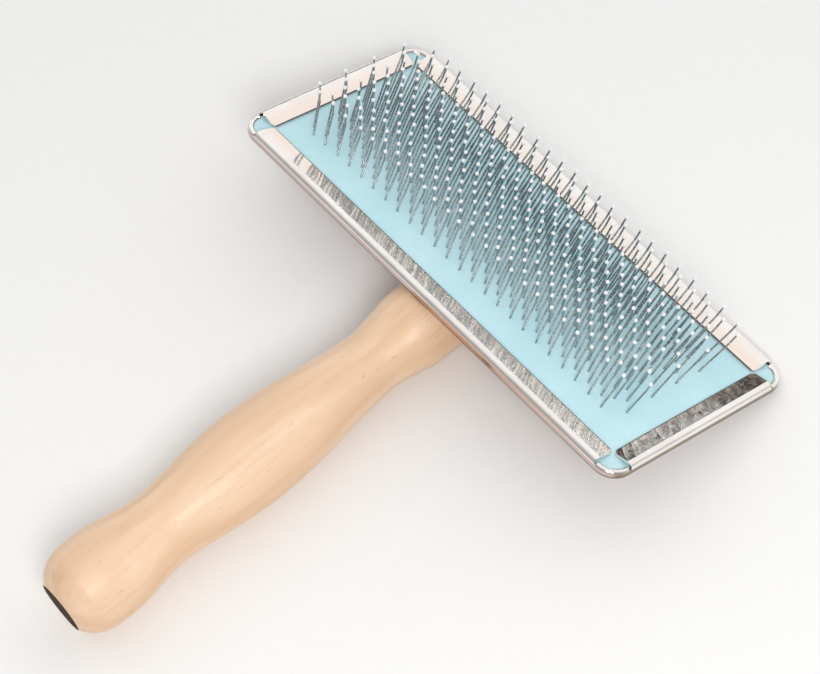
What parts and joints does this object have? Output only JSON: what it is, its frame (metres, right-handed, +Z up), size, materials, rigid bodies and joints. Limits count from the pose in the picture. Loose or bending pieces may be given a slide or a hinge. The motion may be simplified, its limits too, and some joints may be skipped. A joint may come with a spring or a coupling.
{
  "type": "slicker brush",
  "caption": "Hand-held grooming brush with a wide pressed metal head, a crowned rubber cushion of bent wire pins with round tips, and a turned wooden handle",
  "frame": {"origin": "On the table, under the middle of the whole brush as it lies pins up, resting on the handle's grip and the far back edge of the head", "axes": "+Z up, away from the table. +Y from the handle's butt towards the head. X along the head, across the handle"},
  "size_m": [0.121, 0.145, 0.0274],
  "materials": {
    "turned_wood": "sanded smooth under a thin satin lacquer",
    "bright_plate": "bright nickel plate, mirror-like with faint drawing marks",
    "woven_cloth": "plain cotton weave",
    "felt": "dense pressed felt",
    "blue_rubber": "matte, finely speckled",
    "screw_steel": "plain zinc plate",
    "pin_wire": "drawn stainless wire",
    "tip_resin": "glossy white resin drops"
  },
  "bodies": {
    "root": {"handle": "turned_wood", "head_pan": "bright_plate", "foundation_cloth": "woven_cloth", "felt_cushion": "felt", "rubber_face": "blue_rubber", "pan_screws": "screw_steel", "pin_row_01": "pin_wire", "pin_row_02": "pin_wire", "pin_row_03": "pin_wire", "pin_row_04": "pin_wire", "pin_row_05": "pin_wire", "pin_row_06": "pin_wire", "pin_row_07": "pin_wire", "pin_row_08": "pin_wire", "pin_row_09": "pin_wire", "pin_row_10": "pin_wire", "pin_row_11": "pin_wire", "pin_row_12": "pin_wire", "pin_row_13": "pin_wire", "pin_row_14": "pin_wire", "pin_row_15": "pin_wire", "pin_row_16": "pin_wire", "bead_row_01": "tip_resin", "bead_row_02": "tip_resin", "bead_row_03": "tip_resin", "bead_row_04": "tip_resin", "bead_row_05": "tip_resin", "bead_row_06": "tip_resin", "bead_row_07": "tip_resin", "bead_row_08": "tip_resin", "bead_row_09": "tip_resin", "bead_row_10": "tip_resin", "bead_row_11": "tip_resin", "bead_row_12": "tip_resin", "bead_row_13": "tip_resin", "bead_row_14": "tip_resin", "bead_row_15": "tip_resin", "bead_row_16": "tip_resin"}
  },
  "joints": []
}
